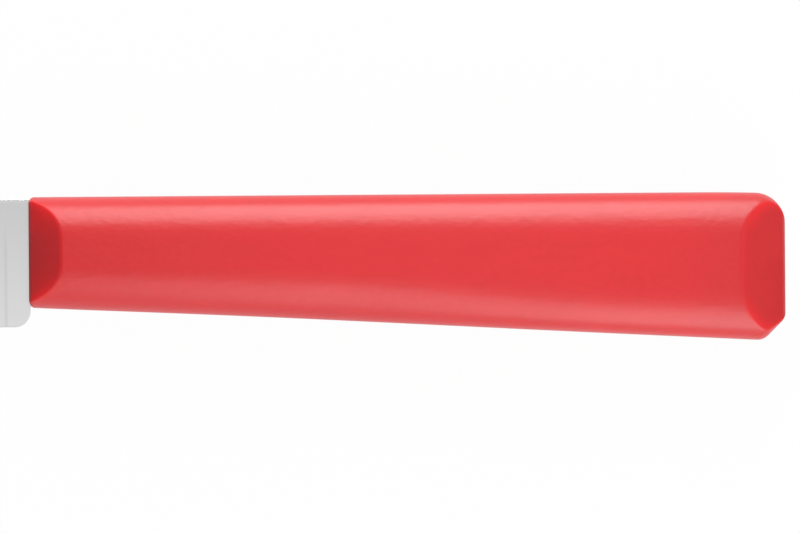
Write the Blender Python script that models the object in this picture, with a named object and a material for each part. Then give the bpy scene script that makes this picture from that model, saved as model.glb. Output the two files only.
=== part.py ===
"""A paring knife: a ground steel blade whose notched tang is bedded in a one-piece lacquered wooden handle.

Units are metres and +Z is up. The knife lies on its side, with its butt towards +X, its point towards -X and
its spine towards +Y. The pieces are worked out from the knife's datum: x = 0 at the handle's front face,
y = 0 along the handle's upper edge and z = 0 at the middle of its thickness. An empty at the datum carries
them to where the handle lies on z = 0 with the whole knife centred over the origin.
"""

import math

import bmesh
import bpy
import numpy as np

MM = 0.001

# Clearance between one piece and the next
FIT_GAP = 0.3 * MM

# Handle, seen from the side. Its lower edge is hollowed by the square of a (1 - a)^2, where a is the share of
# the way along. That is deepest at a third of the way, where a (1 - a)^2 is 4/27. Near the butt its upper
# edge falls by the square of the way along a run.
HANDLE_LENGTH = 108.0 * MM
FRONT_HEIGHT = 15.85 * MM
BUTT_HEIGHT = 21.4 * MM
BELLY_HOLLOW = 0.155 * MM
DEEPEST_SHARE = 4 / 27
BACK_FALL = 0.27 * MM
BACK_FALL_RUN = 12.0 * MM
FRONT_EDGE_RADIUS = 0.65 * MM
BUTT_BACK_RADIUS = 4.1 * MM
BUTT_CUT = 3.1 * MM
BUTT_CUT_RADIUS = 2.0 * MM
BUTT_EDGE_RADIUS = 0.6 * MM

# Handle, across its section: a narrow flat on each side, between a rounded back and a rounded belly.
# Fullness is the power of the curve, at the front face and at the butt: 2 is an ellipse, more is squarer.
# The back's grows evenly along the handle, and the belly's between two shares of the way along.
HANDLE_THICKNESS = 12.6 * MM
SIDE_FLAT = 3.0 * MM
BACK_FULLNESS = (2.4, 2.8)
BELLY_FULLNESS = (1.95, 2.75)
BELLY_CHANGE = (0.4, 0.8)

# Facets planed on the handle's ends, one on each side
FRONT_FACE_WIDTH = 5.9 * MM
FRONT_FACET_RUN = 4.9 * MM
FRONT_FACET_RADIUS = 1.2 * MM
BUTT_FACE_WIDTH = 5.2 * MM
BUTT_FACET_RUN = 6.4 * MM
BUTT_FACET_RADIUS = 1.8 * MM

# Blade, tapered from its stock at the spine to the edge bevel. Its heel tapers less, down to a foot with no
# bevel, so a shallow step runs down the blade in front of it. The blade's curves are powers of the way along
# it, and the tip share is the most of its height that the eased spine and the bevel each take.
BLADE_LENGTH = 88.0 * MM
HEEL_HEIGHT = 18.4 * MM
STOCK = 1.5 * MM
SPINE_STEP = 0.22 * MM
SPINE_RADIUS = 0.3 * MM
HEEL_LENGTH = 3.35 * MM
HEEL_RADIUS = 2.3 * MM
HEEL_FOOT = 0.22 * MM
STEP_WIDTH = 0.4 * MM
SPINE_FALL = 7.0 * MM
SPINE_CURVE = 1.9
EDGE_CURVE = 2.7
TIP_HEIGHT = 0.3 * MM
TIP_SHARE = 0.3
BEVEL_THICKNESS = 0.2 * MM
BEVEL_HEIGHT = 0.4 * MM
EDGE_LAND = 0.06 * MM

# Tang, one piece with the blade, with the heel's taper less a relief on each side, and the adhesive bed round
# the tang
TANG_LENGTH = 62.0 * MM
TANG_HEIGHT = 9.0 * MM
TANG_RELIEF = 0.05 * MM
TANG_ROOT = 1.0 * MM
TANG_END_CHAMFER = 2.0 * MM
NOTCH_COUNT = 3
NOTCH_START = 14.0 * MM
NOTCH_PITCH = 15.0 * MM
NOTCH_MOUTH = 4.0 * MM
NOTCH_FLOOR = 2.0 * MM
NOTCH_DEPTH = 1.5 * MM
BED_THICKNESS = 0.6 * MM
BED_END = 1.5 * MM
BED_RECESS = 0.5 * MM
TANG_MIDDLE = -FRONT_HEIGHT / 2
BED_HEIGHT = TANG_HEIGHT + 2 * (FIT_GAP + BED_THICKNESS)
BED_FAR_END = TANG_LENGTH + FIT_GAP + BED_END

# How finely curved surfaces are divided: steps in each stretch of the handle, from its front face to its
# butt, and in each stretch of the blade, from its point to its shoulder
ARC_STEPS = 24
QUARTER_STEPS = 12
HANDLE_STEPS = (4, 4, 5, 6, 5, 10, 4)
BLADE_STEPS = (18, 4, 2, 5)
SPINE_STEPS = 3
FLANK_STEPS = 4
SHARP_ANGLE = math.radians(40)

# Colour, roughness and metallic value of each material
STEEL = ((0.60, 0.60, 0.61), 0.32, 1.0)
LACQUERED_WOOD = ((0.74, 0.045, 0.05), 0.35, 0.0)
EPOXY = ((0.62, 0.52, 0.33), 0.45, 0.0)


def clear_scene():
    for thing in list(bpy.data.objects):
        bpy.data.objects.remove(thing, do_unlink=True)


def principled(name, look):
    colour, roughness, metallic = look
    material = bpy.data.materials.new(name)
    material.use_nodes = True
    material.diffuse_color = (*colour, 1.0)
    shader = material.node_tree.nodes["Principled BSDF"]
    shader.inputs["Base Color"].default_value = (*colour, 1.0)
    shader.inputs["Roughness"].default_value = roughness
    shader.inputs["Metallic"].default_value = metallic
    return material


def place(shape, name, datum, material=None):
    """The bmesh as a named object on the datum. Without a material it is a cutter, which isn't rendered."""
    bmesh.ops.recalc_face_normals(shape, faces=shape.faces)
    mesh = bpy.data.meshes.new(name)
    shape.to_mesh(mesh)
    shape.free()
    mesh.shade_smooth()
    mesh.set_sharp_from_angle(angle=SHARP_ANGLE)
    piece = bpy.data.objects.new(name, mesh)
    bpy.context.scene.collection.objects.link(piece)
    piece.parent = datum
    if material:
        mesh.materials.append(material)
    else:
        piece.hide_render = True
        piece.display_type = "WIRE"
    return piece


def lofted(rings):
    """A closed skin over rings of points, an array of (rings, points, 3), with a flat cap at each end."""
    shape = bmesh.new()
    loops = [[shape.verts.new(point) for point in ring] for ring in rings]
    for near, far in zip(loops, loops[1:]):
        for i in range(len(near)):
            shape.faces.new((near[i - 1], near[i], far[i], far[i - 1]))
    shape.faces.new(loops[0])
    shape.faces.new(loops[-1])
    return shape


def plate(outline, thickness):
    """A closed outline of (x, y) points as a plate centred on z = 0."""
    shape = bmesh.new()
    face = shape.faces.new([shape.verts.new((x, y, -thickness / 2)) for x, y in outline])
    made = bmesh.ops.extrude_face_region(shape, geom=[face])["geom"]
    raised = [item for item in made if isinstance(item, bmesh.types.BMVert)]
    bmesh.ops.translate(shape, verts=raised, vec=(0.0, 0.0, thickness))
    return shape


def combine(piece, other, operation):
    change = piece.modifiers.new(f"{operation.lower()} {other.name}", "BOOLEAN")
    change.operation = operation
    change.solver = "EXACT"
    change.object = other


def rectangle(low_x, high_x, middle_y, height):
    low_y = middle_y - height / 2
    high_y = middle_y + height / 2
    return np.array([(low_x, low_y), (high_x, low_y), (high_x, high_y), (low_x, high_y)])


def grown(outline, distance):
    """A closed, counter-clockwise outline with each of its sides moved outwards by the distance."""
    sides = np.roll(outline, -1, axis=0) - outline
    sides /= np.linalg.norm(sides, axis=1, keepdims=True)
    normals = np.stack([sides[:, 1], -sides[:, 0]], axis=1)
    before = np.roll(normals, 1, axis=0)
    return outline + distance * (normals + before) / (1 + (normals * before).sum(axis=1, keepdims=True))


def rounded(first, corners, last):
    """Points along a chain from first to last, with each corner (x, y, radius) between them as an arc."""
    chain = [np.array(point[:2]) for point in (first, *corners, last)]
    points = []
    for before, corner, after, (_, _, radius) in zip(chain, chain[1:], chain[2:], corners):
        back = (before - corner) / np.linalg.norm(before - corner)
        ahead = (after - corner) / np.linalg.norm(after - corner)
        half = math.acos(back @ ahead) / 2
        centre = corner + (back + ahead) / np.linalg.norm(back + ahead) * radius / math.sin(half)
        start = corner + back * radius / math.tan(half) - centre
        end = corner + ahead * radius / math.tan(half) - centre
        turn = math.pi - 2 * half
        for angle in np.linspace(0.0, turn, ARC_STEPS):
            points.append(centre + (start * math.sin(turn - angle) + end * math.sin(angle)) / math.sin(turn))
    return np.array(points)


def round_off(distance, radius):
    """How far a quarter-round edge has fallen away at a distance from the face that it runs into."""
    inside = np.clip(1 - distance / radius, 0.0, 1.0)
    return radius * (1 - np.sqrt(1 - inside**2))


def blended_least(a, b, width):
    """The lesser of a and b, eased over where they differ by less than the width."""
    return np.minimum(a, b) - np.maximum(width - abs(a - b), 0.0) ** 2 / (4 * width)


def eased_share(value, start, end):
    """0 before the start and 1 after the end, with a smooth rise between them."""
    share = np.clip((value - start) / (end - start), 0.0, 1.0)
    return share * share * (3 - 2 * share)


def handle_edges():
    """The handle's upper and lower edges from the side, less the fall and the hollow, as chains of (x, y)."""
    cut_x = HANDLE_LENGTH - BUTT_CUT
    slope = (BUTT_HEIGHT - FRONT_HEIGHT) / HANDLE_LENGTH
    cut_y = -FRONT_HEIGHT - slope * cut_x
    front = (0.0, -FRONT_HEIGHT / 2)
    butt = (HANDLE_LENGTH, -FRONT_HEIGHT / 2)
    upper = rounded(front, [(0.0, 0.0, FRONT_EDGE_RADIUS), (HANDLE_LENGTH, 0.0, BUTT_BACK_RADIUS)], butt)
    lower_corners = [
        (0.0, -FRONT_HEIGHT, FRONT_EDGE_RADIUS),
        (cut_x, cut_y, BUTT_CUT_RADIUS),
        (HANDLE_LENGTH, cut_y + BUTT_CUT, BUTT_CUT_RADIUS),
    ]
    return upper, rounded(front, lower_corners, butt)


def handle_rings():
    """The handle's surface as rings of points, packed closely where a facet turns into the barrel."""
    upper, lower = handle_edges()
    full = HANDLE_THICKNESS / 2
    front_slope = (full - FRONT_FACE_WIDTH / 2) / FRONT_FACET_RUN
    butt_slope = (full - BUTT_FACE_WIDTH / 2) / BUTT_FACET_RUN

    # One side of the section, from the back's ridge to the belly's: how far out each point lies, and on which
    # half of the section
    out = np.cos(np.linspace(0.0, math.pi / 2, QUARTER_STEPS + 1)) ** (2 / BACK_FULLNESS[0])
    out[-1] = 0.0
    out = np.concatenate([out, [0.0], out[::-1]])
    half = np.repeat([1.0, 0.0, -1.0], [QUARTER_STEPS + 1, 1, QUARTER_STEPS + 1])

    def barrel(x):
        along = x / HANDLE_LENGTH
        change = eased_share(along, *BELLY_CHANGE)
        back = BACK_FULLNESS[0] + (BACK_FULLNESS[1] - BACK_FULLNESS[0]) * along
        belly = BELLY_FULLNESS[0] + (BELLY_FULLNESS[1] - BELLY_FULLNESS[0]) * change
        power = np.where(half > 0, back, belly)
        return full * (1 - out**power) ** (1 / power)

    # Where each line along the handle passes between facet and barrel
    front_blend = FRONT_FACET_RADIUS * front_slope / 2
    butt_blend = BUTT_FACET_RADIUS * butt_slope / 2
    front_crease = (barrel(0.0) - FRONT_FACE_WIDTH / 2) / front_slope - front_blend
    butt_crease = (barrel(HANDLE_LENGTH) - BUTT_FACE_WIDTH / 2) / butt_slope - butt_blend
    front_crease = np.maximum(front_crease, FRONT_EDGE_RADIUS + front_blend)
    butt_crease = np.maximum(butt_crease, BUTT_BACK_RADIUS)
    ones = np.ones_like(out)
    stops = [
        0.0 * ones,
        FRONT_EDGE_RADIUS * ones,
        front_crease,
        front_crease + 2 * front_blend,
        HANDLE_LENGTH - butt_crease - 2 * butt_blend,
        HANDLE_LENGTH - butt_crease,
        HANDLE_LENGTH - BUTT_EDGE_RADIUS * ones,
        HANDLE_LENGTH * ones,
    ]
    shares = [np.linspace(0.0, 1.0, steps + 1)[1:, None] for steps in HANDLE_STEPS]
    shares[0] = 1 - np.cos(shares[0] * math.pi / 2)
    shares[-1] = np.sin(shares[-1] * math.pi / 2)
    stretches = [near + (far - near) * share for near, far, share in zip(stops, stops[1:], shares)]
    x = np.concatenate([stops[0][None], *stretches])

    along = x / HANDLE_LENGTH
    fall = np.clip(1 - (HANDLE_LENGTH - x) / BACK_FALL_RUN, 0.0, 1.0) ** 2
    hollow = (along * (1 - along) ** 2 / DEEPEST_SHARE) ** 2
    top = np.interp(x, upper[:, 0], upper[:, 1]) - BACK_FALL * fall
    bottom = np.interp(x, lower[:, 0], lower[:, 1]) + BELLY_HOLLOW * hollow
    reach = (top - bottom) / 2 - SIDE_FLAT / 2
    y = (top + bottom) / 2 + half * (SIDE_FLAT / 2 + reach * out)
    from_butt = HANDLE_LENGTH - x
    front_facet = FRONT_FACE_WIDTH / 2 + front_slope * x - round_off(x, FRONT_EDGE_RADIUS)
    butt_facet = BUTT_FACE_WIDTH / 2 + butt_slope * from_butt - round_off(from_butt, BUTT_EDGE_RADIUS)
    z = blended_least(barrel(x), front_facet, front_blend * front_slope)
    z = blended_least(z, butt_facet, butt_blend * butt_slope)
    z[:, (0, -1)] = 0.0
    side = np.stack([x, y, z], axis=-1)
    return np.concatenate([side, side[:, -2:0:-1] * (1, 1, -1)], axis=1)


def heel_half(y):
    """Half the heel's thickness, which tapers evenly from the stock at the spine to the foot."""
    return HEEL_FOOT / 2 + (STOCK - HEEL_FOOT) / 2 * (1 + (y + SPINE_STEP) / HEEL_HEIGHT)


def blade_rings():
    """The blade's surface as rings of points, from its point to the shoulder that meets the handle."""
    tip_steps, step_steps, heel_steps, corner_steps = BLADE_STEPS
    step = HEEL_LENGTH + STEP_WIDTH
    corner = FIT_GAP + HEEL_RADIUS
    turn = np.linspace(math.pi / 2, 0.0, corner_steps + 1)
    from_handle = np.concatenate([
        np.linspace(BLADE_LENGTH, step, tip_steps + 1)[:-1],
        np.linspace(step, HEEL_LENGTH, step_steps + 1)[:-1],
        np.linspace(HEEL_LENGTH, corner, heel_steps + 1)[:-1],
        FIT_GAP + HEEL_RADIUS * (1 - np.cos(turn)),
    ])
    along = from_handle / BLADE_LENGTH
    rise = HEEL_HEIGHT - SPINE_FALL - TIP_HEIGHT
    spine = -SPINE_STEP - SPINE_FALL * along**SPINE_CURVE
    edge = -SPINE_STEP - HEEL_HEIGHT + rise * along**EDGE_CURVE
    edge += round_off(from_handle - FIT_GAP, HEEL_RADIUS)
    height = (spine - edge)[:, None]
    ground = eased_share(from_handle, HEEL_LENGTH, step)[:, None]

    # Depths below the spine: round its eased edge, down the flank, and at the top and foot of the edge bevel
    eased = np.minimum(SPINE_RADIUS, height * TIP_SHARE)
    bevel = np.minimum(BEVEL_HEIGHT, height * TIP_SHARE)
    arc = 1 - np.cos(np.linspace(0.0, math.pi / 2, SPINE_STEPS + 1))
    flank = np.linspace(0.0, 1.0, FLANK_STEPS + 1)[1:]
    depth = np.concatenate([eased * arc, eased + (height - bevel - eased) * flank, height], axis=1)

    flat_grind = (STOCK - BEVEL_THICKNESS) / 2 / HEEL_HEIGHT
    ground_half = BEVEL_THICKNESS / 2 + flat_grind * (height - depth)
    ground_half[:, -1] = EDGE_LAND / 2
    y = spine[:, None] - depth
    half = heel_half(y) + (ground_half - heel_half(y)) * ground
    half -= round_off(depth, eased)
    half = np.maximum(half, EDGE_LAND / 2)
    x = np.broadcast_to(-from_handle[:, None], depth.shape)
    flank_side = np.stack([x, y, half], axis=-1)
    return np.concatenate([flank_side, flank_side[:, ::-1] * (1, 1, -1)], axis=1)


def tang_outline():
    """The tang from the side, counter-clockwise, with notches along both edges and a chamfered end."""
    low = TANG_MIDDLE - TANG_HEIGHT / 2
    lower = [(-FIT_GAP - TANG_ROOT, low)]
    for i in range(NOTCH_COUNT):
        centre = NOTCH_START + NOTCH_PITCH * i
        lower.append((centre - NOTCH_MOUTH / 2, low))
        lower.append((centre - NOTCH_FLOOR / 2, low + NOTCH_DEPTH))
        lower.append((centre + NOTCH_FLOOR / 2, low + NOTCH_DEPTH))
        lower.append((centre + NOTCH_MOUTH / 2, low))
    lower.append((TANG_LENGTH - TANG_END_CHAMFER, low))
    lower.append((TANG_LENGTH, low + TANG_END_CHAMFER))
    upper = [(x, 2 * TANG_MIDDLE - y) for x, y in reversed(lower)]
    return np.array(lower + upper)


def tang_half(y):
    return heel_half(y) - TANG_RELIEF


def bed_width():
    """The adhesive bed is as wide as the tang at its thicker, upper edge."""
    return 2 * tang_half(TANG_MIDDLE + TANG_HEIGHT / 2)


def make_blade(datum):
    blade = place(lofted(blade_rings()), "blade", datum, principled("steel", STEEL))
    blank = plate(tang_outline(), STOCK)
    for corner in blank.verts:
        corner.co.z *= 2 * tang_half(corner.co.y) / STOCK
    tang = place(blank, "tang_blank", datum)
    combine(blade, tang, "UNION")


def make_tang_adhesive(datum):
    """The bed lies round the tang's edges and fills its notches, and ends as a plug behind it."""
    blank = plate(rectangle(BED_RECESS, BED_FAR_END, TANG_MIDDLE, BED_HEIGHT), bed_width())
    bed = place(blank, "tang_adhesive", datum, principled("epoxy", EPOXY))
    tang_space = plate(grown(tang_outline(), FIT_GAP), bed_width() + 2 * FIT_GAP)
    combine(bed, place(tang_space, "tang_space", datum), "DIFFERENCE")


def make_handle(datum):
    handle = place(lofted(handle_rings()), "handle", datum, principled("lacquered wood", LACQUERED_WOOD))
    outline = rectangle(-FIT_GAP, BED_FAR_END + FIT_GAP, TANG_MIDDLE, BED_HEIGHT + 2 * FIT_GAP)
    slot = place(plate(outline, bed_width() + 2 * FIT_GAP), "tang_slot", datum)
    combine(handle, slot, "DIFFERENCE")


def make_datum():
    """The knife's datum, placed so that the handle lies on z = 0 and the knife is centred over the origin."""
    _, lower = handle_edges()
    datum = bpy.data.objects.new("knife_datum", None)
    bpy.context.scene.collection.objects.link(datum)
    middle_x = (HANDLE_LENGTH - BLADE_LENGTH) / 2
    middle_y = lower[:, 1].min() / 2
    datum.location = (-middle_x, -middle_y, HANDLE_THICKNESS / 2)
    return datum


def make_knife():
    clear_scene()
    datum = make_datum()
    make_blade(datum)
    make_tang_adhesive(datum)
    make_handle(datum)


make_knife()
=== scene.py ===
# A paring knife with a red lacquered handle. It lies on its side on a white table, seen from straight above.
import math

import bpy
import numpy as np
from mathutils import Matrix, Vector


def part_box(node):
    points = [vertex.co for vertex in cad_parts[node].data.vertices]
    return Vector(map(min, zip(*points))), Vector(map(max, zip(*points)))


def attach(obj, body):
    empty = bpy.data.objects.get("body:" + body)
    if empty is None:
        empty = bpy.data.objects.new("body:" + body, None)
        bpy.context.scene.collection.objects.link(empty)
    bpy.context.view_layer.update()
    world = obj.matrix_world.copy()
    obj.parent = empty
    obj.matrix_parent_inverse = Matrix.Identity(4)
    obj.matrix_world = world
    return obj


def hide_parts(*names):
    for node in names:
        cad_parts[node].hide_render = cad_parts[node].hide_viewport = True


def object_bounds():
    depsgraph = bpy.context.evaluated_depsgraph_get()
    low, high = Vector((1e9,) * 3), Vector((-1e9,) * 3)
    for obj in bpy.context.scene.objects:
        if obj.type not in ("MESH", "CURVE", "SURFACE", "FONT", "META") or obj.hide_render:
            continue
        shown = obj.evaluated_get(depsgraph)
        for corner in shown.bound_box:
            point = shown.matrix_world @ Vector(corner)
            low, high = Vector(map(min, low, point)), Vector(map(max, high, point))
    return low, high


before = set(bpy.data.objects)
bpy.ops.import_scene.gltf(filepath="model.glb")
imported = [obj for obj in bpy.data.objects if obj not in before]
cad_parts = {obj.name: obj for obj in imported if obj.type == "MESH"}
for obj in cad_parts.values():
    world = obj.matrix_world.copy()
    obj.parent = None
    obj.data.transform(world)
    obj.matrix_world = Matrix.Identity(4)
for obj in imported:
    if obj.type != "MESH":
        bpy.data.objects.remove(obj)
cadBox = [list(corner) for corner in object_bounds()]
scene = bpy.context.scene
scene.view_settings.view_transform = "Standard"

# Every piece is worked out in millimetres from the handle's front upper edge: x runs towards the butt, y
# towards the spine and z across the thickness, and z = 0 is the knife's middle plane.
handleLow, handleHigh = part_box("handle")
datum = np.array([handleLow.x, handleHigh.y, (handleLow.z + handleHigh.z) / 2])
millimetre = 0.001
print("frame loaded, datum at", [round(float(v), 6) for v in datum])


def smoothStep(t):  # 3t^2 - 2t^3 between 0 and 1
    t = np.clip(t, 0.0, 1.0)
    return t * t * (3 - 2 * t)


def growth(value, span):  # smoothStep from the span's start, over the span's width
    return smoothStep((value - span[0]) / span[1])


def between(pair, share):  # evenly from the pair's first value to its second
    return pair[0] + (pair[1] - pair[0]) * share


def roundOff(distance, radius):  # drop of a quarter circle: r - sqrt(r^2 - (r - distance)^2)
    inside = np.clip(1 - distance / radius, 0.0, 1.0)
    return radius * (1 - np.sqrt(1 - inside**2))


def easedLeast(a, b, width):
    # the lesser of a and b, less (width - |a - b|)^2 / 4 width where they are closer than the width
    return np.minimum(a, b) - np.maximum(width - abs(a - b), 0.0) ** 2 / (4 * width)


def arcCorner(before, corner, after, radius, steps):
    # points of the circle that touches both straight sides of a corner, by slerp between its touching points
    before, corner, after = (np.array(p, float) for p in (before, corner, after))
    back = (before - corner) / np.linalg.norm(before - corner)
    ahead = (after - corner) / np.linalg.norm(after - corner)
    half = math.acos(back @ ahead) / 2
    centre = corner + (back + ahead) / np.linalg.norm(back + ahead) * radius / math.sin(half)
    start = corner + back * radius / math.tan(half) - centre
    end = corner + ahead * radius / math.tan(half) - centre
    turn = math.pi - 2 * half
    angle = np.linspace(0.0, turn, steps)[:, None]
    return centre + (start * np.sin(turn - angle) + end * np.sin(angle)) / math.sin(turn)


def mirrored(side, sharedEnds=False):
    # one side's points, or their marks, and then the other side's, without the ends that both share
    other = side[:, -2:0:-1] if sharedEnds else side[:, ::-1]
    return np.concatenate([side, other * (1, 1, -1) if side.ndim == 3 else other], axis=1)


def ringSurface(name, rings, sharpDegrees, marks):
    # a closed skin of quads over rings of points, ring by ring, with one flat face over each end
    count, around = rings.shape[:2]
    index = np.arange(count * around).reshape(count, around)
    nextOn = np.roll(index, -1, axis=1)
    quads = np.stack([index[:-1], nextOn[:-1], nextOn[1:], index[1:]], axis=-1).reshape(-1, 4)
    faces = quads.tolist() + [index[0, ::-1].tolist(), index[-1].tolist()]
    mesh = bpy.data.meshes.new(name)
    mesh.from_pydata((rings.reshape(-1, 3) * millimetre + datum).tolist(), [], faces)
    mesh.shade_smooth()
    mesh.set_sharp_from_angle(angle=math.radians(sharpDegrees))
    for label, values in marks.items():
        mark = mesh.attributes.new(label, "FLOAT", "POINT")
        mark.data.foreach_set("value", np.broadcast_to(values, rings.shape[:2]).astype(np.float32).ravel())
    piece = bpy.data.objects.new(name, mesh)
    scene.collection.objects.link(piece)
    return piece


class Wire:
    # one socket of a material; + - * with numbers or other wires add Math nodes
    def __init__(self, paint, socket):
        self.paint = paint
        self.socket = socket

    def math(self, operation, first, second):
        return self.paint.node("ShaderNodeMath", {"operation": operation}, {0: first, 1: second})

    def __add__(self, other):
        return self.math("ADD", self, other)

    def __radd__(self, other):
        return self.math("ADD", other, self)

    def __sub__(self, other):
        return self.math("SUBTRACT", self, other)

    def __rsub__(self, other):
        return self.math("SUBTRACT", other, self)

    def __mul__(self, other):
        return self.math("MULTIPLY", self, other)

    def __rmul__(self, other):
        return self.math("MULTIPLY", other, self)


class Paint:
    # the node tree of a new material and the ways to add to it
    def __init__(self, name):
        self.material = bpy.data.materials.new(name)
        self.material.use_nodes = True
        self.tree = self.material.node_tree
        self.shader = self.tree.nodes["Principled BSDF"]

    def plug(self, node, sockets):
        for key, value in sockets.items():
            if isinstance(value, Wire):
                self.tree.links.new(value.socket, node.inputs[key])
            else:
                node.inputs[key].default_value = value

    def node(self, kind, settings=None, sockets=None, out=0):
        made = self.tree.nodes.new(kind)
        for key, value in (settings or {}).items():
            setattr(made, key, value)
        self.plug(made, sockets or {})
        return Wire(self, made.outputs[out])

    def mixed(self, share, first, second):  # between two colours, which are the Mix node's sockets 6 and 7
        return self.node("ShaderNodeMix", {"data_type": "RGBA"}, {0: share, 6: first, 7: second}, out=2)

    def bumped(self, s, height):  # a normal from heights, by a material's own settings
        return self.node("ShaderNodeBump", None,
                         {"Strength": s["bump"], "Distance": s["bumpDepth"], "Height": height})

    def mark(self, label):  # a mark of the mesh, from 0 to 1
        return self.node("ShaderNodeAttribute", {"attribute_name": label}, out="Fac")

    def noise(self, frequency, detail, roughness):
        # noise in object space whose frequency per millimetre differs along x, y and z
        place = self.node("ShaderNodeTexCoord", out="Object")
        scaled = self.node("ShaderNodeMapping", None,
                           {"Vector": place, "Scale": [f / millimetre for f in frequency]})
        return self.node("ShaderNodeTexNoise", None,
                         {"Vector": scaled, "Scale": 1.0, "Detail": detail, "Roughness": roughness})

    def surface(self, sockets):
        self.plug(self.shader, sockets)
        return self.material


# Handle: barrelled across its section, with a facet planed at each end of both sides
handle = {
    "length": 108.0,
    "frontHeight": 15.85,
    "buttHeight": 21.4,
    "bellyHollow": 0.155,
    "deepestShare": 4 / 27,  # the greatest value of a (1 - a)^2, which is at a third
    "backFall": 0.27,
    "backFallRun": 12.0,
    "frontEdgeRadius": 0.65,
    "buttBackRadius": 4.1,
    "buttCut": 3.1,
    "buttCutRadius": 2.0,
    "buttEdgeRadius": 0.6,
    "thickness": 12.6,
    "sideFlat": 3.0,
    "backFullness": (2.4, 2.8),  # power of the section's curve, at the front face and at the butt
    "bellyFullness": (1.95, 2.75),
    "bellyChange": (0.4, 0.4),  # shares of the length: where the belly's fullness changes, and over how much
    "frontFaceWidth": 5.9,
    "frontFacetRun": 4.9,
    "frontFacetRadius": 1.2,
    "buttFaceWidth": 5.2,
    "buttFacetRun": 6.4,
    "buttFacetRadius": 1.8,
    "slotHeight": 11.4,
    "slotWidth": 1.8,
    "slotDepth": 64.1,
    "shade": (1.0, 0.61),  # how much painted shade darkens the front and the butt facets
    "creaseShade": (0.38, 0.5),  # the shares of that at their creases
    "shadeRamp": (4.4, 2.0),  # how far down the facets it grows
    "shadeFade": (40.0, 13.0),  # how far along the barrel it fades out
    "ridgeLight": (0.95, 0.6),  # a painted light: how much less the front's painted shade is towards the back and the belly
    "ridgeSpan": (0.1, 0.6),  # where that begins, and over how much it grows: 0 is the middle and 1 a ridge
    "paintedLightStrength": (1.0, 0.5),  # how much painted light brightens the ends of the front's and the butt's creases
    "paintedLightReach": (2.8, 0.6),  # how far down the facet and along the barrel that goes
    "paintedLightSpan": (0.35, 0.55),  # as ridgeSpan
    "ridgeShadeReach": (3.5, 6.0),  # half the width of the painted shade along the back and along the belly
    "wearWidth": 0.25,
    "mouthFlare": 1.25,  # how much the front face's outline grows before it is cut to the slot's mouth
    "capShares": (0.05, 0.5),  # the rings of the butt's end face, as shares of the way to its middle
    "faceSteps": 6,
    "slotSteps": 8,
    "arcSteps": 64,
    "quarterSteps": 40,
    "stretchSteps": (10, 8, 14, 60, 14, 30, 14),
    "sharpDegrees": 50,
}


def handleSilhouette(h):
    # the upper and lower edges from the side: straight lines whose corners are arcs
    length, front = h["length"], h["frontHeight"]
    cutX = length - h["buttCut"]
    cutY = -front - (h["buttHeight"] - front) / length * cutX
    cutEnd = (length, cutY + h["buttCut"])
    middleFront, middleButt = (0.0, -front / 2), (length, -front / 2)
    upper = np.concatenate([
        arcCorner(middleFront, (0.0, 0.0), (length, 0.0), h["frontEdgeRadius"], h["arcSteps"]),
        arcCorner((0.0, 0.0), (length, 0.0), middleButt, h["buttBackRadius"], h["arcSteps"]),
    ])
    lower = np.concatenate([
        arcCorner(middleFront, (0.0, -front), (cutX, cutY), h["frontEdgeRadius"], h["arcSteps"]),
        arcCorner((0.0, -front), (cutX, cutY), cutEnd, h["buttCutRadius"], h["arcSteps"]),
        arcCorner((cutX, cutY), cutEnd, middleButt, h["buttCutRadius"], h["arcSteps"]),
    ])
    return upper, lower


def facetMarks(h, end, past):
    # the painted shade and the painted light at one end, 0 the front's and 1 the butt's. Past is the
    # distance past the crease, under 0 on the facet. The painted shade is full down there, less at the
    # crease and gone along the barrel, and the painted light is full at the crease and gone on both sides
    # of it, all by smoothStep.
    crease = h["creaseShade"][end]
    lost = (1 - crease) * smoothStep(past / h["shadeRamp"][end] + 1)
    shade = h["shade"][end] * (1 - lost - crease * smoothStep(past / h["shadeFade"][end]))
    down, along = h["paintedLightReach"]
    paintedLight = h["paintedLightStrength"][end] * (smoothStep(past / down + 1) - smoothStep(past / along))
    return shade, paintedLight


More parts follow.
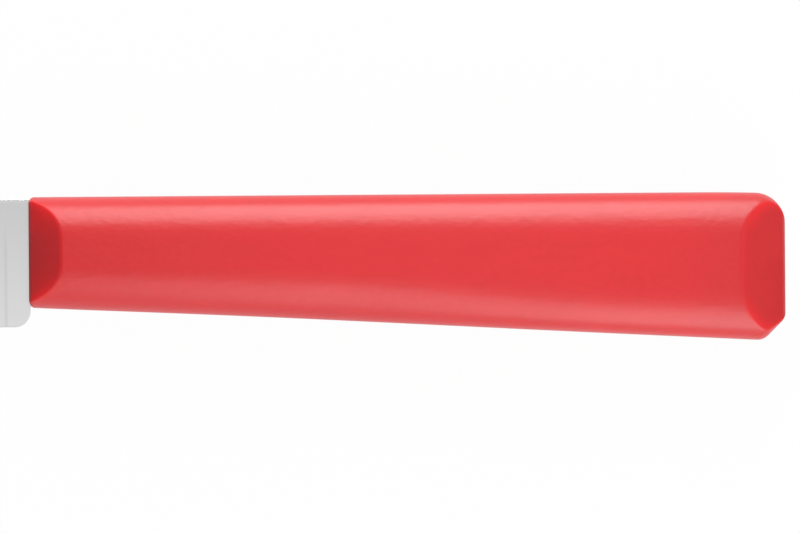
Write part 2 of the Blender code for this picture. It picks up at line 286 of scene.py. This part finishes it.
def handleRings(h):
    # x runs down each line of the handle, closely where a facet turns into the barrel. Across the section,
    # z = T/2 (1 - out^power)^(1/power) for out from 1 on a ridge to 0 on the flat, and each end's facet cuts
    # it down to a plane, the lesser of the two being eased. The upper edge falls by f^2 over its last
    # stretch, and the lower edge is hollowed by (a (1 - a)^2 / deepestShare)^2, a being the share of the way
    # along.
    upper, lower = handleSilhouette(h)
    length, full = h["length"], h["thickness"] / 2
    frontSlope = (full - h["frontFaceWidth"] / 2) / h["frontFacetRun"]
    buttSlope = (full - h["buttFaceWidth"] / 2) / h["buttFacetRun"]
    steps = h["quarterSteps"]
    out = np.cos(np.linspace(0.0, math.pi / 2, steps + 1)) ** (2 / h["backFullness"][0])
    out[-1] = 0.0
    out = np.concatenate([out, [0.0], out[::-1]])
    half = np.repeat([1.0, 0.0, -1.0], [steps + 1, 1, steps + 1])

    def barrel(x):
        along = x / length
        back = between(h["backFullness"], along)
        belly = between(h["bellyFullness"], growth(along, h["bellyChange"]))
        power = np.where(half > 0, back, belly)
        return full * (1 - out**power) ** (1 / power)

    frontBlend = h["frontFacetRadius"] * frontSlope / 2
    buttBlend = h["buttFacetRadius"] * buttSlope / 2
    frontCrease = (barrel(0.0) - h["frontFaceWidth"] / 2) / frontSlope - frontBlend
    buttCrease = (barrel(length) - h["buttFaceWidth"] / 2) / buttSlope - buttBlend
    frontCrease = np.maximum(frontCrease, h["frontEdgeRadius"] + frontBlend)
    buttCrease = np.maximum(buttCrease, h["buttBackRadius"])
    one = np.ones_like(out)
    stops = [
        0.0 * one,
        h["frontEdgeRadius"] * one,
        frontCrease,
        frontCrease + 2 * frontBlend,
        length - buttCrease - 2 * buttBlend,
        length - buttCrease,
        length - h["buttEdgeRadius"] * one,
        length * one,
    ]
    shares = [np.linspace(0.0, 1.0, count + 1)[1:, None] for count in h["stretchSteps"]]
    shares[0] = 1 - np.cos(shares[0] * math.pi / 2)
    shares[-1] = np.sin(shares[-1] * math.pi / 2)
    stretches = [a + (b - a) * share for a, b, share in zip(stops, stops[1:], shares)]
    x = np.concatenate([stops[0][None]] + stretches)

    along = x / length
    fall = np.clip(1 - (length - x) / h["backFallRun"], 0.0, 1.0) ** 2
    hollow = (along * (1 - along) ** 2 / h["deepestShare"]) ** 2
    top = np.interp(x, upper[:, 0], upper[:, 1]) - h["backFall"] * fall
    bottom = np.interp(x, lower[:, 0], lower[:, 1]) + h["bellyHollow"] * hollow
    reach = (top - bottom) / 2 - h["sideFlat"] / 2
    y = (top + bottom) / 2 + half * (h["sideFlat"] / 2 + reach * out)
    fromButt = length - x
    frontFacet = h["frontFaceWidth"] / 2 + frontSlope * x - roundOff(x, h["frontEdgeRadius"])
    buttFacet = h["buttFaceWidth"] / 2 + buttSlope * fromButt - roundOff(fromButt, h["buttEdgeRadius"])
    body = barrel(x)
    z = easedLeast(easedLeast(body, frontFacet, frontBlend * frontSlope), buttFacet, buttBlend * buttSlope)
    z[:, (0, -1)] = 0.0
    side = np.stack([x, y, z], axis=-1)

    # the marks: the facets' painted shade is less towards the ridges at the front, the painted light grows
    # towards the ends of the creases, wear is 1 on the creases and on the rims of both end faces, and the
    # painted shade along the ridges is 1 on both of them
    frontPast = (frontFacet - body) / frontSlope
    buttPast = (buttFacet - body) / buttSlope
    frontShade, frontPaintedLight = facetMarks(h, 0, frontPast)
    buttShade, buttPaintedLight = facetMarks(h, 1, buttPast)
    outward = abs(2 * y - top - bottom) / (top - bottom)
    ridgeLight = np.where(half > 0, *h["ridgeLight"]) * growth(outward, h["ridgeSpan"])
    near = np.minimum(np.minimum(abs(frontPast), abs(buttPast)), np.minimum(x, fromButt))
    marks = {
        "shade": buttShade + frontShade * (1 - ridgeLight),
        "paintedLight": (frontPaintedLight + buttPaintedLight) * growth(outward, h["paintedLightSpan"]),
        "wear": np.exp(-(near / h["wearWidth"]) ** 2),
        # painted shade along both ridges
        "ridgeShade": 1 - smoothStep(z / np.where(half > 0, *h["ridgeShadeReach"])),
    }
    return mirrored(side, True), {label: mirrored(values, True) for label, values in marks.items()}


def makeHandle(h):
    # the skin goes on round the front face, into the slot and across its end, and closes over the butt
    skin, marks = handleRings(h)
    middle = np.array([0.0, -h["frontHeight"] / 2, 0.0])
    rim = skin[0]
    outline = (rim - middle) / abs(rim - middle).max(axis=0).clip(1e-9)  # from -1 to 1 in y and z, 0 in x
    slotHalf = np.array([0.0, h["slotHeight"] / 2, h["slotWidth"] / 2])
    mouth = np.clip(outline * h["mouthFlare"], -1.0, 1.0) * slotHalf + middle
    face = mouth + (rim - mouth) * np.linspace(0.0, 1.0, h["faceSteps"] + 1)[:-1, None, None]
    slotEnd = np.array([h["slotDepth"], 0.0, 0.0])
    inward = slotEnd * np.linspace(1.0, 0.0, h["slotSteps"] + 1)[:-1, None, None]
    butt = skin[-1]
    buttMiddle = (butt.min(axis=0) + butt.max(axis=0)) / 2
    cap = butt + (buttMiddle - butt) * np.array(h["capShares"])[:, None, None]
    before, after = len(inward) + len(face), len(cap)
    marks = {label: np.pad(values, ((before, after), (0, 0)), "edge") for label, values in marks.items()}
    for label in ("wear", "ridgeShade"):
        marks[label][:before - 1] = 0.0
        marks[label][-after:] = 0.0
    rings = np.concatenate([mouth + inward, face, skin, cap])
    return ringSurface("knifeHandle", rings, h["sharpDegrees"], marks)


knifeHandle = makeHandle(handle)
print("handle made:", len(knifeHandle.data.vertices), "points")

# Blade: a tapered strip with an eased spine, a heel one shallow step thicker, and a notched tang
blade = {
    "length": 88.0,
    "heelHeight": 18.4,
    "stock": 1.5,
    "spineStep": 0.22,
    "spineRadius": 0.3,
    "heelLength": 3.35,
    "heelRadius": 2.3,
    "heelBack": 0.02,  # how far the heel's back edge is let into the handle's front face
    "heelFoot": 0.21,
    "footRadius": 0.1,
    "stepWidth": 0.4,
    "spineFall": 7.0,
    "spineCurve": 1.9,
    "edgeCurve": 2.7,
    "tipHeight": 0.3,
    "tipShare": 0.3,
    "bevelThickness": 0.2,
    "bevelHeight": 0.4,
    "bevelRun": 4.0,  # over which the bevel grows in from the heel
    "edgeLand": 0.06,
    "tangLength": 62.0,
    "tangHeight": 9.0,
    "tangMiddle": -7.925,
    "tangRelief": 0.05,
    "tangEndChamfer": 2.0,
    "notchCentres": (14.0, 29.0, 44.0),
    "notchMouth": 4.0,
    "notchFloor": 2.0,
    "notchDepth": 1.5,
    "wearWidth": 0.25,
    "edgeWear": 0.2,
    "stepShadePlace": 3.47,  # of the painted shade in the heel's step, from the handle
    "stepShadeWidth": 0.19,
    "stepShadeSpan": (3.0, 5.0),  # how far below the spine the painted shade begins, and over how much it grows
    "tipCrowding": 1.3,  # power by which the rings crowd towards the point
    "tipSteps": 150,
    "stepSteps": 8,
    "heelSteps": 6,
    "cornerSteps": 16,
    "spineSteps": 8,
    "flankSteps": 40,
    "bevelSteps": 5,
    "sharpDegrees": 35,
}


def heelHalf(b, y):  # half the heel's thickness, evenly from the stock at the spine to the foot
    upward = 1 + (y + b["spineStep"]) / b["heelHeight"]
    return b["heelFoot"] / 2 + (b["stock"] - b["heelFoot"]) / 2 * upward


def bladeRings(b):
    # one ring at each distance from the handle: down one side of the blade from spine to edge, and up the
    # other. The spine falls, and the edge rises, by a power of the way along. Thickness grows evenly from
    # bevel to spine, less the spine's quarter rounds, and in the heel it follows heelHalf. The bevel thins
    # from the heel's rounded foot to the land at the edge, by smoothStep along its run.
    step = b["heelLength"] + b["stepWidth"]
    corner = b["heelRadius"] - b["heelBack"]
    turn = np.linspace(math.pi / 2, 0.0, b["cornerSteps"] + 1)
    crowded = np.linspace(0.0, 1.0, b["tipSteps"] + 1)[:-1] ** b["tipCrowding"]
    fromHandle = np.concatenate([
        b["length"] - (b["length"] - step) * crowded,
        np.linspace(step, b["heelLength"], b["stepSteps"] + 1)[:-1],
        np.linspace(b["heelLength"], corner, b["heelSteps"] + 1)[:-1],
        b["heelRadius"] * (1 - np.cos(turn)) - b["heelBack"],
    ])
    along = fromHandle.clip(0.0) / b["length"]
    rise = b["heelHeight"] - b["spineFall"] - b["tipHeight"]
    spine = -b["spineStep"] - b["spineFall"] * along ** b["spineCurve"]
    edge = -b["spineStep"] - b["heelHeight"] + rise * along ** b["edgeCurve"]
    edge += roundOff(fromHandle + b["heelBack"], b["heelRadius"])
    height = (spine - edge)[:, None]
    ground = growth(fromHandle, (b["heelLength"], b["stepWidth"]))[:, None]
    eased = np.minimum(b["spineRadius"], height * b["tipShare"])
    bevel = np.minimum(b["bevelHeight"], height * b["tipShare"])
    arc = 1 - np.cos(np.linspace(0.0, math.pi / 2, b["spineSteps"] + 1))
    flank = np.linspace(0.0, 1.0, b["flankSteps"] + 1)[1:]
    foot = np.sin(np.linspace(0.0, math.pi / 2, b["bevelSteps"] + 1)[1:])
    parts = [eased * arc, eased + (height - bevel - eased) * flank, height - bevel + bevel * foot]
    depth = np.concatenate(parts, axis=1)
    y = spine[:, None] - depth
    fromEdge = height - depth
    grind = (b["stock"] - b["bevelThickness"]) / 2 / b["heelHeight"]
    honed = growth(fromHandle, (b["heelLength"], b["bevelRun"]))[:, None]
    land = b["bevelThickness"] / 2 + (b["edgeLand"] - b["bevelThickness"]) / 2 * honed
    shoulder = b["bevelThickness"] / 2 + grind * bevel
    rounding = roundOff(fromEdge, b["footRadius"])
    groundHalf = np.where(fromEdge > bevel, b["bevelThickness"] / 2 + grind * fromEdge,
                          land + (shoulder - land) * fromEdge / bevel - rounding * (1 - honed))
    plainHalf = heelHalf(b, y) - rounding
    half = plainHalf + (groundHalf - plainHalf) * ground - roundOff(depth, eased)
    half = np.maximum(half, b["edgeLand"] / 2)
    side = np.stack([np.broadcast_to(-fromHandle[:, None], depth.shape), y, half], axis=-1)
    # the marks: wear falls by exp(-(d / wearWidth)^2) from 1 at the spine and from edgeWear at the edge, and
    # the painted shade in the heel's step by exp(-(d / width)^2) from 1 at its place, fading out towards the
    # spine
    spineWear, edgeWear = (np.exp(-(distance / b["wearWidth"]) ** 2) for distance in (depth, fromEdge))
    # painted shade in the heel's step
    stepShade = np.exp(-((fromHandle - b["stepShadePlace"]) / b["stepShadeWidth"]) ** 2)[:, None]
    marks = {
        "wear": spineWear + b["edgeWear"] * edgeWear,
        "stepShade": stepShade * growth(depth, b["stepShadeSpan"]),
    }
    return mirrored(side), {label: mirrored(values) for label, values in marks.items()}


def tangRings(b, perSide, gap=0.0):
    # the tang has the heel's taper, less its relief; both of its edges fall in by the notches' depth and, at
    # its end, by the chamfer. The gap is how much larger all round the adhesive's inside is.
    reach = b["tangLength"] + gap
    places, falls = [b["heelBack"]], [0.0]
    for centre in b["notchCentres"]:
        places += [centre - b["notchMouth"] / 2, centre - b["notchFloor"] / 2]
        places += [centre + b["notchFloor"] / 2, centre + b["notchMouth"] / 2]
        falls += [0.0, b["notchDepth"], b["notchDepth"], 0.0]
    places += [b["tangLength"] - b["tangEndChamfer"], reach]
    falls += [0.0, b["tangEndChamfer"]]
    x = np.array(places)[:, None]
    tall = b["tangHeight"] / 2 + gap - np.array(falls)[:, None]
    y = b["tangMiddle"] + tall * np.linspace(1.0, -1.0, perSide)
    z = heelHalf(b, y) - b["tangRelief"] + gap
    return mirrored(np.stack([np.broadcast_to(x, y.shape), y, z], axis=-1))


def makeBlade(b):
    rings, marks = bladeRings(b)
    tang = tangRings(b, rings.shape[1] // 2)
    marks = {label: np.pad(values, ((0, len(tang)), (0, 0))) for label, values in marks.items()}
    return ringSurface("knifeBlade", np.concatenate([rings, tang]), b["sharpDegrees"], marks)


knifeBlade = makeBlade(blade)
print("blade made:", len(knifeBlade.data.vertices), "points")

# Adhesive: a cup that fills the slot round the tang, just below the slot's mouth
adhesive = {
    "recess": 0.35,
    "wallGap": 0.02,
    "tangGap": 0.02,
    "perSide": 24,
    "lengthSteps": 12,
    "wearWidth": 0.5,
    "sharpDegrees": 35,
}


def makeAdhesive(a, h, b):
    # outside, the slot's own box, less a hair; inside, the tang's rings, grown by a hair
    inner = tangRings(b, a["perSide"], a["tangGap"])
    inner[0, :, 0] = a["recess"]
    tall = h["slotHeight"] / 2 - a["wallGap"]
    wide = h["slotWidth"] / 2 - a["wallGap"]
    y = b["tangMiddle"] + tall * np.linspace(1.0, -1.0, a["perSide"])
    ring = mirrored(np.stack([np.zeros_like(y), y, np.full_like(y, wide)], axis=-1)[None])
    x = np.linspace(h["slotDepth"] - a["wallGap"], a["recess"], a["lengthSteps"])
    outer = ring + x[:, None, None] * np.array([1.0, 0.0, 0.0])
    rings = np.concatenate([outer, inner])
    marks = {"wear": np.exp(-((rings[..., 0] - a["recess"]) / a["wearWidth"]) ** 2)}
    return ringSurface("tangAdhesive", rings, a["sharpDegrees"], marks)


tangAdhesive = makeAdhesive(adhesive, handle, blade)
print("adhesive made:", len(tangAdhesive.data.vertices), "points")

# Lacquered wood: opaque red satin lacquer, with the wood's grain showing faintly through along the handle,
# and with painted shade and painted light on its facets and along its ridges
lacquer = {
    "red": (0.69, 0.019, 0.0225, 1.0),
    "deepRed": (0.61, 0.016, 0.019, 1.0),
    # painted shade on the end facets, fading out along the barrel
    "shadeRed": (0.49, 0.022, 0.025, 1.0),
    # painted light at the ends of the facets' creases
    "paintedLightRed": (0.92, 0.020, 0.024, 1.0),
    # painted shade along the back and the belly ridges
    "ridgeShadeRed": (0.50, 0.014, 0.017, 1.0),
    "wornRed": (0.62, 0.030, 0.032, 1.0),
    "roughness": 0.40,
    "grain": (0.08, 1.0, 1.0),  # waves per millimetre along x, y and z
    "peel": (0.8, 1.1, 1.1),
    "cloud": (0.15, 0.25, 0.25),
    "bump": 0.25,
    "bumpDepth": 0.0002,  # metres
}


def lacqueredWood(s):
    # colour = red to deepRed by 0.3 grain + 0.6 peel + 0.7 cloud - 0.3, to the facets' painted shade,
    # to the painted light at the creases' ends, to the painted shade along the ridges, to wornRed by 0.3
    # wear; height = 0.3 grain + 0.7 peel
    paint = Paint("red lacquered wood")
    grain = paint.noise(s["grain"], 3.0, 0.6)
    peel = paint.noise(s["peel"], 1.0, 0.5)
    cloud = paint.noise(s["cloud"], 2.0, 0.5)
    wear = paint.mark("wear")
    colour = paint.mixed(grain * 0.3 + peel * 0.6 + cloud * 0.7 - 0.3, s["red"], s["deepRed"])
    # painted shade on the end facets, fading out along the barrel
    colour = paint.mixed(paint.mark("shade"), colour, s["shadeRed"])
    # painted light at the ends of the facets' creases
    colour = paint.mixed(paint.mark("paintedLight"), colour, s["paintedLightRed"])
    # painted shade along the back and the belly ridges
    colour = paint.mixed(paint.mark("ridgeShade"), colour, s["ridgeShadeRed"])
    colour = paint.mixed(wear * 0.3, colour, s["wornRed"])
    roughness = s["roughness"] - 0.03 + cloud * 0.04 + grain * 0.02 + wear * 0.05
    normal = paint.bumped(s, grain * 0.3 + peel * 0.7)
    return paint.surface({"Base Color": colour, "Roughness": roughness, "Normal": normal})


# Satin steel: ground lines from the spine to the edge, and a painted light that makes it brighter towards
# the edge
steel = {
    "dull": (0.62, 0.62, 0.625, 1.0),
    # the painted light towards the edge
    "bright": (0.86, 0.86, 0.865, 1.0),
    "stepShadeGrey": (0.40, 0.40, 0.405, 1.0),  # painted shade in the heel's step
    "polished": (0.95, 0.95, 0.955, 1.0),  # where the spine and the edge are rubbed bright
    "roughness": 0.3,
    "lines": (6.0, 0.06, 0.06),
    "cloud": (0.15, 0.1, 0.1),
    "spine": 0.0105,  # metres, the height of the spine and of the edge in the shaded piece's own coordinates
    "edge": -0.0080,
    "bump": 0.05,
    "bumpDepth": 0.00002,
}


def satinSteel(s):
    # colour = dull to bright by 0.2 + 0.6 fall + 0.1 lines + 0.1 cloud, fall being 0 at the spine and 1 at
    # the edge, a painted light, to the painted shade of the heel's step by 0.2 of its mark, to polished by
    # 0.8 wear; height = lines
    paint = Paint("satin steel")
    lines = paint.noise(s["lines"], 3.0, 0.7)
    cloud = paint.noise(s["cloud"], 2.0, 0.5)
    wear = paint.mark("wear")
    place = paint.node("ShaderNodeTexCoord", out="Object")
    place = paint.node("ShaderNodeSeparateXYZ", None, {"Vector": place}, out="Y")
    fall = paint.node("ShaderNodeMapRange", None,
                      {"Value": place, "From Min": s["spine"], "From Max": s["edge"]})
    # painted light: brighter from the spine towards the edge
    colour = paint.mixed(fall * 0.6 + lines * 0.1 + cloud * 0.1 + 0.2, s["dull"], s["bright"])
    # painted shade in the heel's step
    colour = paint.mixed(paint.mark("stepShade") * 0.2, colour, s["stepShadeGrey"])
    colour = paint.mixed(wear * 0.8, colour, s["polished"])
    roughness = s["roughness"] - 0.04 + lines * 0.05 + cloud * 0.03 - wear * 0.05
    normal = paint.bumped(s, lines)
    return paint.surface({"Base Color": colour, "Roughness": roughness, "Normal": normal, "Metallic": 1.0})


# Cured epoxy: amber, slightly cloudy, and scraped paler at the slot's mouth
epoxy = {
    "amber": (0.62, 0.50, 0.30, 1.0),
    "pale": (0.70, 0.62, 0.46, 1.0),
    "roughness": 0.4,
    "cloud": (0.5, 0.5, 0.5),
    "bump": 0.1,
    "bumpDepth": 0.0002,
}


def curedEpoxy(s):  # colour = amber to pale by 0.7 cloud + 0.3 wear; height = cloud
    paint = Paint("cured epoxy")
    cloud = paint.noise(s["cloud"], 3.0, 0.6)
    wear = paint.mark("wear")
    colour = paint.mixed(cloud * 0.7 + wear * 0.3, s["amber"], s["pale"])
    roughness = s["roughness"] + cloud * 0.1 + wear * 0.1
    normal = paint.bumped(s, cloud)
    return paint.surface({"Base Color": colour, "Roughness": roughness, "Normal": normal})


for piece, node, slot, material in (
    (knifeHandle, "handle", "red_lacquered_wood", lacqueredWood(lacquer)),
    (knifeBlade, "blade", "satin_steel", satinSteel(steel)),
    (tangAdhesive, "tang_adhesive", "cured_epoxy", curedEpoxy(epoxy)),
):
    piece.data.materials.append(material)
    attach(piece, "root")
    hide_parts(node)
print("materials and bodies set")

# Table and studio: the table shows white to the camera and to mirror rays, and the lamps light the knife.
# The steel would mirror the handle's bright panels as plain white, so the blade has softer lamps of its own.
studio = {
    "white": (1.0, 1.0, 1.0, 1.0),  # of the world and of the table's glow
    "tableSize": 6.0,
    "tableDrop": 0.00003,  # metres, how far the table is below the knife
    "tableWhite": (0.8, 0.8, 0.8, 1.0),
    "tableRoughness": 0.9,
    "tableGlow": 0.97,  # share of plain white that the camera sees over the lit table
    "world": 0.03,
    "aim": (0.04, 0.0, 0.006),  # metres
    "lampDistance": 0.7,
    "handlePanels": (
        # name, degrees up over the table from +Y, middle along x, length along x, height, brightness
        ("spineSide", 28.5, 0.055, 0.31, 0.71, 9.05),
        ("overhead", 92.0, 0.05, 0.11, 0.60, 2.7),
        ("edgeSide", 148.0, 0.27, 0.60, 0.73, 4.8),
    ),
    "handleEndLamps": (
        # name, degrees up over the table from +X, side of its square, brightness
        ("buttSide", 35.0, 0.50, 0.4),
        ("bladeSide", 158.0, 0.40, 0.15),
    ),
    "bladePanels": (
        ("spineGlint", 4.0, 0.0, 0.80, 0.10, 13.0),
        ("spineFill", 37.0, 0.0, 0.80, 0.80, 0.7),
        ("bladeOverhead", 90.0, 0.0, 0.60, 0.60, 0.865),
        ("edgeFill", 143.0, 0.0, 0.80, 0.80, 0.7),
    ),
    "bladeEndLamps": (
        ("buttFill", 30.0, 0.80, 0.4),
        ("pointFill", 150.0, 0.80, 0.4),
    ),
}


def seenDirectly(paint):  # 1 for camera, mirror and see-through rays
    rays = [paint.node("ShaderNodeLightPath", out=name) for name in
            ("Is Camera Ray", "Is Glossy Ray", "Is Transmission Ray")]
    return paint.node("ShaderNodeClamp", None, {"Value": rays[0] + rays[1] + rays[2]})


def makeTable(s):
    side = s["tableSize"] / 2
    mesh = bpy.data.meshes.new("table")
    corners = np.array([(-1, -1), (1, -1), (1, 1), (-1, 1)]) * side
    points = np.concatenate([corners, np.full((4, 1), cadBox[0][2] - s["tableDrop"])], axis=1)
    mesh.from_pydata(points.tolist(), [], [(0, 1, 2, 3)])
    table = bpy.data.objects.new("table", mesh)
    scene.collection.objects.link(table)
    paint = Paint("white table")
    paint.surface({"Base Color": s["tableWhite"], "Roughness": s["tableRoughness"]})
    glow = paint.node("ShaderNodeEmission", None, {"Color": s["white"], "Strength": 1.0})
    lit = Wire(paint, paint.shader.outputs[0])
    glowing = seenDirectly(paint) * s["tableGlow"]
    both = paint.node("ShaderNodeMixShader", None, {0: glowing, 1: lit, 2: glow})
    paint.plug(paint.tree.nodes["Material Output"], {"Surface": both})
    mesh.materials.append(paint.material)


def makeWorld(s):  # even and dim, as the lamps light the knife
    world = bpy.data.worlds.new("studio")
    world.use_nodes = True
    scene.world = world
    plain = world.node_tree.nodes["Background"]
    plain.inputs["Color"].default_value = s["white"]
    plain.inputs["Strength"].default_value = s["world"]


def litBy(name, piece, state):  # INCLUDE lights the piece alone, and EXCLUDE all but the piece
    group = bpy.data.collections.new(name)
    group.objects.link(piece)
    group.collection_objects[0].light_linking.link_state = state
    return group


def addLamp(name, place, turn, length, height, brightness, lit):
    # a panel of even radiance: its power is pi times its area times its brightness
    light = bpy.data.lights.new(name, "AREA")
    light.shape = "RECTANGLE"
    light.size, light.size_y = length, height
    light.energy = math.pi * length * height * brightness
    lamp = bpy.data.objects.new(name, light)
    lamp.location = place
    lamp.rotation_euler = turn
    lamp.light_linking.receiver_collection = lit
    scene.collection.objects.link(lamp)


def makeLamps(s, panels, endLamps, lit):
    # each of the long panels is turned about the x axis, so that it faces the knife from its own height
    aimX, aimY, aimZ = s["aim"]
    for name, degrees, middle, length, height, brightness in panels:
        up = math.radians(degrees)
        place = (middle, aimY + s["lampDistance"] * math.cos(up), aimZ + s["lampDistance"] * math.sin(up))
        addLamp(name, place, (up - math.pi / 2, 0.0, 0.0), length, height, brightness, lit)
    for name, degrees, side, brightness in endLamps:
        up = math.radians(degrees)
        place = (aimX + s["lampDistance"] * math.cos(up), aimY, aimZ + s["lampDistance"] * math.sin(up))
        addLamp(name, place, (0.0, math.pi / 2 - up, 0.0), side, side, brightness, lit)


makeTable(studio)
makeWorld(studio)
allButBlade = litBy("all but the blade", knifeBlade, "EXCLUDE")
makeLamps(studio, studio["handlePanels"], studio["handleEndLamps"], allButBlade)
bladeAlone = litBy("the blade alone", knifeBlade, "INCLUDE")
makeLamps(studio, studio["bladePanels"], studio["bladeEndLamps"], bladeAlone)
print("table, world and lamps set")

# Camera: straight above, turned so that the knife's back rises slightly to the right
view = {
    "lens": 188.4,  # millimetres, as the sensor's width
    "sensorWidth": 36.0,
    "clipStart": 0.01,  # metres, as the height
    "height": 0.6,  # above the knife's middle plane
    "centre": (52.99, -10.32),  # the point of the middle plane at the centre of the picture
    "turn": -0.423,
}
eye = bpy.data.cameras.new("eye")
eye.lens = view["lens"]
eye.sensor_width = view["sensorWidth"]
eye.clip_start = view["clipStart"]
camera = bpy.data.objects.new("eye", eye)
centre = datum + np.array([*view["centre"], 0.0]) * millimetre
camera.location = (centre[0], centre[1], centre[2] + view["height"])
camera.rotation_euler = (0.0, 0.0, math.radians(view["turn"]))
scene.collection.objects.link(camera)
scene.camera = camera
print("camera set")
